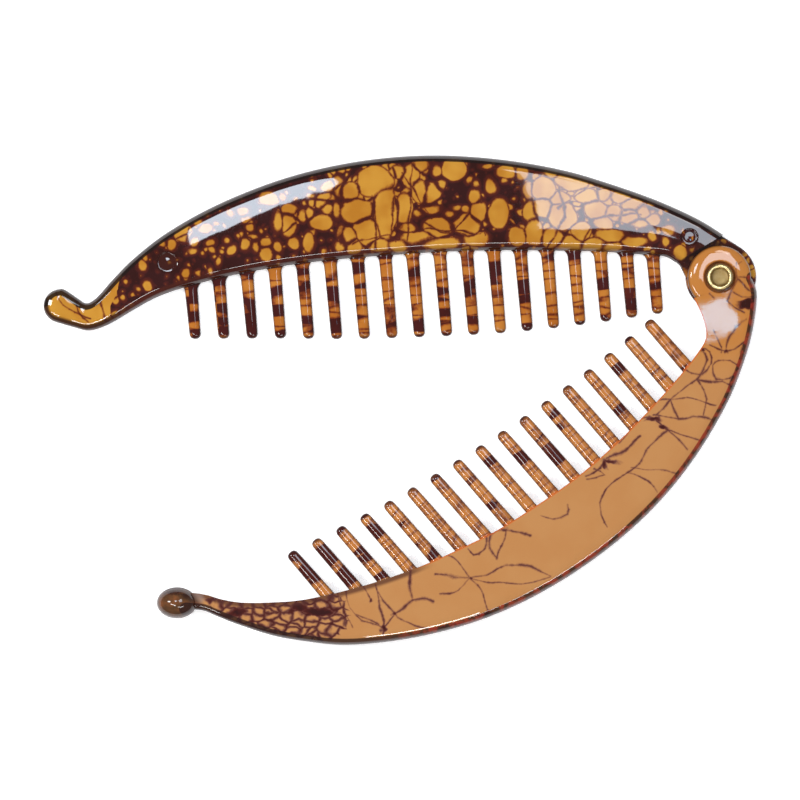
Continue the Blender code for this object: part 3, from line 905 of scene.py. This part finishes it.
def tooth_web(graph, u, v, places, dark):
    """How far inside a clear band of a tooth a place is, in view units. Each tooth has bands of its own."""
    count, first, pitch, growth = places
    from_first = graph.minus(u, first)
    number = graph.math("ROUND", graph.math("DIVIDE", from_first, pitch + growth * count / 2))
    across = graph.times(u, 0.11)
    seed = graph.times(number, 7.31)
    along = graph.times(v, TOOTH_BANDS)
    place = graph.add("ShaderNodeCombineXYZ", (across, along, seed)).outputs[0]
    shift = graph.noise(place, 0.9, 1.0, "3D", output="Color")
    shift = graph.vector("SUBTRACT", shift, (0.5, 0.5, 0.5))
    place = graph.vector("MULTIPLY_ADD", shift, (0.3, 0.9, 0.0), place)
    edge = graph.voronoi(place, 1.0, "DISTANCE_TO_EDGE", "3D").outputs["Distance"]
    own = graph.voronoi(place, 1.0, "F1", "3D").outputs["Color"]
    own = graph.add("ShaderNodeSeparateColor", (own,)).outputs[0]
    clear = graph.times(graph.minus(edge, 0.03), 1 / (TOOTH_BANDS * VIEW_UNIT))
    filled = graph.smooth(graph.minus(dark, own), -0.02, 0.02)
    return graph.blend(filled, clear, -2.0)


def plastic_colour(graph, inside, place, line_tone, deep_tone, clear_tone, cloud_tone):
    """Colour of the plastic by how far inside a clear cell a place is, in view units."""
    mottle = graph.noise(place, 0.03, 2.0)
    fine = graph.noise(place, 0.3, 2.0)
    level = graph.math("MULTIPLY_ADD", graph.minus(fine, 0.5), 1.2, inside)
    level = graph.math("MULTIPLY_ADD", level, 1 / 10, 0.4)
    tone = graph.ramp(level, (
        (0.05, srgb("2c0e0e")),
        (0.25, srgb("421612")),
        (0.36, line_tone),
        (0.42, deep_tone),
        (0.51, clear_tone),
    ))
    cloud = graph.mix(graph.smooth(mottle, 0.3, 0.7), srgb("ffffff"), cloud_tone)
    return graph.mix(1.0, tone, cloud, "MULTIPLY")


def glossy_plastic(graph, shader, colour, place):
    """Moulded plastic: a clear gloss over the colour, with slight waves and wear, duller on steep sides."""
    graph.feed(shader.inputs["Base Color"], colour)
    wear = graph.noise(place, 0.5, 4.0, "3D", 0.7)
    rough = graph.blend(graph.smooth(wear, 0.5, 0.85), 0.025, 0.08)
    graph.feed(shader.inputs["Roughness"], graph.blend(side_shade(graph, 0.5, 0.2), rough, 0.55))
    waves = graph.noise(place, 0.035, 1.0, "3D")
    ripples = graph.noise(place, 0.3, 1.0, "3D")
    relief = graph.math("MULTIPLY_ADD", ripples, 0.03, waves)
    named = {"Strength": 1.0, "Distance": 0.00002, "Height": relief}
    graph.feed(shader.inputs["Normal"], graph.add("ShaderNodeBump", named=named).outputs[0])
    shader.inputs["IOR"].default_value = 1.5


def distances(points, line):
    """Distance of each point from a line of points, less than 0 for points on the line's right."""
    start = line[:-1]
    along = line[1:] - start
    off = points[:, None] - start
    share = np.clip((off * along).sum(2) / (along ** 2).sum(1), 0, 1)
    away = np.linalg.norm(off - along * share[..., None], axis=2)
    nearest = away.argmin(1)
    rows = np.arange(len(points))
    nearest_off = off[rows, nearest]
    left = along[nearest, 0] * nearest_off[:, 1] - along[nearest, 1] * nearest_off[:, 0] >= 0
    return np.where(left, 1, -1) * away[rows, nearest]


def edge_distances(thing, stations, tips, side):
    """Keeps at each point its distances in mm from the blade's two edges and from the tooth's tip."""
    points = np.empty(len(thing.data.vertices) * 3)
    thing.data.vertices.foreach_get("co", points)
    points = points.reshape(-1, 3)[:, :2] / MM * (-1, side)
    rows = np.array(stations)
    tip_curve = np.array(smooth_rows(tips, STEPS_PER_STATION))
    from_inner = distances(points, rows[:, :2])
    u, v = points.T
    on_tooth = (from_inner < 0) & (u > tips[0][0] - 2) & (u < tips[-1][0] + 2)
    from_tip = v - np.interp(u, *tip_curve.T)
    values = {
        "from_outer": np.abs(distances(points, rows[:, 2:4])),
        "from_inner": from_inner,
        "from_tip": np.where(on_tooth, from_tip, 40.0),
    }
    for name, numbers in values.items():
        thing.data.attributes.new(name, "FLOAT", "POINT").data.foreach_set("value", numbers)


def new_material(name):
    material = bpy.data.materials.new(name)
    material.use_nodes = True
    return material, material.node_tree.nodes["Principled BSDF"]


def side_shade(graph, start, end):
    """0 where the upward part of the normal is start, to 1 where it is end, with a smooth step."""
    normal = graph.add("ShaderNodeNewGeometry").outputs["Normal"]
    level = graph.math("ABSOLUTE", graph.add("ShaderNodeSeparateXYZ", (normal,)).outputs[2])
    return graph.smooth(level, start, end)


def hook_pattern(graph, place, bent):
    """How far inside a clear cell of the hook comb's blade a place is, in view units."""
    dark = graph.math("ADD", charted_shade(graph, place, HOOK_SHADES), 0.0, clamp=True)
    nearest, next_one = charted_cells(graph, bent, HOOK_CELLS)
    # Lines between neighbouring cells
    apart = graph.times(graph.minus(nearest, next_one), 0.5)
    thick = graph.smooth(graph.noise(place, 0.045, 2.0), 0.35, 0.7)
    thin_side = graph.smooth(graph.vector("DOT_PRODUCT", place, (1.0, 0.0, 0.0)), *THIN_LINES)
    line = graph.times(thick, graph.blend(thin_side, 1.5, 0.5))
    apart = graph.minus(apart, graph.math("ADD", line, 0.3))
    charted = graph.math("MINIMUM", graph.math("ADD", nearest, 0.5), apart)
    strands = charted_strands(graph, bent, HOOK_STRANDS + HOOK_NECK_STRANDS)
    charted = graph.math("MINIMUM", charted, strands)
    # A finer web where no cell is charted
    filler = web_cells(graph, graph.warped(place, 0.05, 9.0), 9.0, dark)
    outside = graph.minus(graph.times(nearest, -1.0), 1.0)
    inside = graph.math("MAXIMUM", charted, graph.math("MINIMUM", filler, outside))
    # The neck, plain but for its cracks
    edge = graph.vector("DOT_PRODUCT", bent, (1.0, NECK_SLANT, 0.0))
    plain = graph.smooth(edge, *NECK_PLAIN)
    cracks = charted_strands(graph, bent, HOOK_NECK_STRANDS)
    return graph.blend(plain, inside, graph.math("MINIMUM", cracks, 6.0))


def painted_lip_shade(graph, colour, u, on_tooth):
    """Paints shade on the rounded lip along the hook comb's inner edge, most of all towards and round the
    hook.
    """
    lip_shade = graph.smooth(attribute(graph, "from_inner"), 1.5, 0.8)
    share = graph.blend(graph.smooth(u, 100.0, 112.0), 0.6, 0.95)
    share = graph.blend(graph.smooth(u, 58.0, 68.0), 0.2, share)
    on_blade = graph.minus(1.0, on_tooth)
    lip_shade = graph.times(graph.times(lip_shade, on_blade), share)
    tone = graph.mix(graph.smooth(u, 112.0, 122.0), srgb("451a10"), srgb("240c08"))
    return graph.mix(lip_shade, colour, tone)


def hook_comb_plastic():
    material, shader = new_material("tortoiseshell_dark")
    graph = Graph(material.node_tree)
    place = view_place(graph)
    u, v = comb_place(graph, HOOK_COMB_TURN, 1)
    bent = graph.warped(place, 0.06, 5.0, 0.0)
    inside = hook_pattern(graph, place, bent)
    tooth_dark = graph.blend(graph.smooth(u, 45.0, 100.0), 0.14, 0.5)
    banded = tooth_web(graph, u, v, HOOK_COMB_TEETH, tooth_dark)
    on_tooth = graph.smooth(attribute(graph, "from_inner"), *TEETH_START)
    inside = graph.blend(on_tooth, inside, banded)
    tones = (srgb("4a1c0e"), srgb("7e451a"), srgb("ac7a2a"), srgb("e6d2b4"))
    colour = plastic_colour(graph, inside, place, *tones)
    colour = graph.mix(on_tooth, colour, graph.mix(1.0, colour, srgb("f8dcf0"), "MULTIPLY"))
    # Painted shade on the rounded inner lip
    colour = painted_lip_shade(graph, colour, u, on_tooth)
    # Painted shade in the ejector dent and in the recess round the disc
    recess_shade = charted_shade(graph, bent, HOOK_PAINTED_SHADE)
    colour = graph.mix(graph.times(recess_shade, 0.85, clamp=True), colour, srgb("32120c"))
    # Painted shade on the outer rim, the steep sides and the ends of the teeth
    colour = painted_edge_shade(graph, colour, srgb("120806"), 0.95)
    glossy_plastic(graph, shader, colour, place)
    return material


def painted_edge_shade(graph, colour, rim_shade_tone, rim_shade_share):
    """Painted shade: darkens the outer rim, the steep sides and the domed ends of the teeth."""
    rim_shade = graph.smooth(attribute(graph, "from_outer"), *RIM_START)
    colour = graph.mix(graph.times(rim_shade, rim_shade_share), colour, rim_shade_tone)
    steep_shade = side_shade(graph, 0.95, 0.25)
    colour = graph.mix(graph.times(steep_shade, 0.8), colour, srgb("2c0e08"))
    cap_shade = graph.times(graph.smooth(attribute(graph, "from_tip"), *CAP_START), 0.85)
    return graph.mix(cap_shade, colour, srgb("30100c"))


def ball_pattern(graph, place):
    """How far a place on the ball comb's blade is from its strands, knots and web, in view units."""
    bent = graph.warped(place, 0.035, 9.0, 0.0)
    frayed = graph.warped(bent, 0.12, 8.0, 1.0)
    strands = charted_strands(graph, bent, BALL_STRANDS)
    knots_and_gap_shade, _ = charted_cells(graph, frayed, BALL_KNOTS_AND_GAP_SHADE)
    inside = graph.math("MINIMUM", strands, graph.times(knots_and_gap_shade, -1.0))
    dense = graph.math("ADD", charted_shade(graph, place, BALL_SHADES), 0.0, clamp=True)
    drawn = graph.vector("MULTIPLY", graph.warped(place, 0.05, 14.0), (0.7, 1.2, 1.0))
    filler = web_cells(graph, drawn, 8.0, graph.times(dense, 0.3))
    sparse = graph.minus(0.92, dense)
    return graph.math("MINIMUM", inside, graph.math("MULTIPLY_ADD", sparse, 14.0, filler))


def ball_inner_edge(graph, colour, u, from_inner, on_tooth):
    """A painted glow of refracted light as an orange line at the roots of the teeth, and a dark margin past
    the last of them.
    """
    far_end = graph.smooth(u, 78.0, 84.0)
    # Painted glow of light refracted through the inner wall, along the roots
    root_glow = graph.smooth(graph.math("ABSOLUTE", from_inner), 0.34, 0.12)
    root_glow = graph.times(root_glow, graph.blend(far_end, 0.7, 0.0))
    colour = graph.mix(root_glow, colour, srgb("b8561e"))
    margin = graph.smooth(from_inner, 1.3, 0.5)
    margin = graph.times(margin, graph.minus(1.0, on_tooth))
    margin = graph.times(margin, graph.times(far_end, 0.8))
    return graph.mix(margin, colour, srgb("42201c"))


def ball_mottle_and_collar_light(graph, colour, place, u):
    """A painted grey haze of refracted light where the neck meets the ball, and the dark mottle of the ball
    itself.
    """
    collar_light = charted_shade(graph, place, BALL_COLLAR_PAINTED_LIGHT)
    colour = graph.mix(graph.times(collar_light, 0.7, clamp=True), colour, srgb("7c6860"))
    ball = graph.smooth(u, 117.2, 118.6)
    blotch = graph.noise(place, 0.07, 3.0, "3D")
    tone = graph.mix(graph.smooth(blotch, 0.4, 0.62), srgb("1c0a08"), srgb("5e3018"))
    return graph.mix(graph.times(ball, 0.85), colour, tone)


def ball_comb_plastic():
    material, shader = new_material("tortoiseshell_light")
    graph = Graph(material.node_tree)
    place = view_place(graph)
    u, v = comb_place(graph, BALL_COMB_TURN, -1)
    inside = ball_pattern(graph, place)
    tooth_dark = graph.blend(graph.smooth(u, 60.0, 100.0), 0.1, 0.45)
    banded = tooth_web(graph, u, v, BALL_COMB_TEETH, tooth_dark)
    from_inner = attribute(graph, "from_inner")
    on_tooth = graph.smooth(from_inner, *TEETH_START)
    inside = graph.blend(on_tooth, inside, banded)
    tones = (srgb("5e3830"), srgb("8a5c3c"), srgb("a57445"), srgb("fcf8f4"))
    colour = plastic_colour(graph, inside, place, *tones)
    near_hinge = graph.times(graph.smooth(hinge_distance(graph), 22.0, 10.0), 0.8)
    colour = graph.mix(near_hinge, colour, graph.mix(1.0, colour, srgb("ffe6a8"), "MULTIPLY"))
    colour = graph.mix(on_tooth, colour, graph.mix(1.0, colour, srgb("ffe8c8"), "MULTIPLY"))
    colour = ball_inner_edge(graph, colour, u, from_inner, on_tooth)
    # Painted shade in the groove of the seat round the rivet
    seat_shade = graph.smooth(hinge_distance(graph), *SEAT_SHADE_RING)
    colour = graph.mix(graph.times(seat_shade, 0.7), colour, srgb("6a3414"))
    # Painted haze of refracted light at the ball's collar, then the ball's own dark mottle
    colour = ball_mottle_and_collar_light(graph, colour, place, u)
    # Tone of the painted shade on the outer rim: mottled dark red, darker towards the far end
    mottle = graph.noise(place, 0.12, 3.0)
    rim_shade_tone = graph.mix(graph.smooth(mottle, 0.4, 0.62), srgb("200a0a"), srgb("7c2216"))
    rim_shade_tone = graph.mix(graph.smooth(u, 86.0, 98.0), rim_shade_tone, srgb("24100e"))
    # Painted shade on the outer rim, the steep sides and the ends of the teeth
    colour = painted_edge_shade(graph, colour, rim_shade_tone, 0.9)
    glossy_plastic(graph, shader, colour, place)
    return material


def brass():
    material, shader = new_material("brass")
    graph = Graph(material.node_tree)
    own = graph.add("ShaderNodeTexCoord").outputs["Object"]
    place = graph.vector("MULTIPLY", own, (1 / MM, 1 / MM, 1 / MM))
    cloud = graph.noise(place, 0.9, 4.0, "3D", 0.65)
    colour = graph.mix(graph.smooth(cloud, 0.35, 0.75), srgb("ead49c"), srgb("ccb078"))
    dish = graph.smooth(hinge_distance(graph), *DISH_RING)
    colour = graph.mix(graph.times(dish, 0.75), colour, srgb("7c5e30"))
    graph.feed(shader.inputs["Base Color"], colour)
    shader.inputs["Metallic"].default_value = 1.0
    rough = graph.math("MULTIPLY_ADD", dish, 0.22, graph.blend(cloud, 0.28, 0.36))
    graph.feed(shader.inputs["Roughness"], rough)
    drawn = graph.vector("MULTIPLY", place, (14.0, 1.5, 1.0))
    scratches = graph.noise(drawn, 1.0, 2.0, "3D")
    named = {"Strength": 0.15, "Distance": 0.000005, "Height": scratches}
    graph.feed(shader.inputs["Normal"], graph.add("ShaderNodeBump", named=named).outputs[0])
    return material


def pale_floor():
    material, shader = new_material("floor")
    shader.inputs["Base Color"].default_value = FLOOR_TONE
    shader.inputs["Roughness"].default_value = 0.9
    shader.inputs["Emission Color"].default_value = (1.0, 1.0, 1.0, 1.0)
    shader.inputs["Emission Strength"].default_value = FLOOR_GLOW
    return material


def floor():
    half = FLOOR_SIZE / 2
    shell = bmesh.new()
    signs = ((-1, -1), (1, -1), (1, 1), (-1, 1))
    shell.faces.new([shell.verts.new(Vector((x * half, y * half, 0.0)) * MM) for x, y in signs])
    thing = object_of("floor", shell)
    thing.data.materials.append(pale_floor())


def softbox(name, place_mm, size_mm, glow, turn, tint, in_gloss):
    light = bpy.data.lights.new(name, "AREA")
    light.shape = "RECTANGLE"
    light.size = size_mm[0] * MM
    light.size_y = size_mm[1] * MM
    light.energy = glow * pi * light.size * light.size_y
    light.color = tint
    lamp = linked(name, light)
    lamp.location = Vector(place_mm) * MM
    lamp.visible_glossy = in_gloss
    aim = -lamp.location if turn is None else Vector((0.0, 0.0, -lamp.location.z))
    facing = aim.to_track_quat("-Z", "Y").to_matrix() @ Matrix.Rotation(radians(turn or 0.0), 3, "Z")
    lamp.rotation_euler = facing.to_euler()


def lights():
    world = bpy.data.worlds.new("studio")
    world.use_nodes = True
    background = world.node_tree.nodes["Background"]
    background.inputs["Color"].default_value = (*WHITE, 1.0)
    background.inputs["Strength"].default_value = WORLD_GLOW
    bpy.context.scene.world = world
    for row in SOFTBOXES:
        softbox(*row)


def camera():
    data = bpy.data.cameras.new("camera")
    data.lens = LENS
    data.sensor_width = SENSOR_WIDTH
    item = linked("camera", data)
    item.location = Vector((0.0, 0.0, VIEW_WIDTH * LENS / SENSOR_WIDTH + VIEW_HEIGHT)) * MM
    bpy.context.scene.camera = item


def main():
    hook_comb(hook_comb_plastic())
    ball_comb(ball_comb_plastic())
    rivet(brass())
    floor()
    lights()
    camera()
    bpy.context.scene.view_settings.view_transform = "Standard"


main()
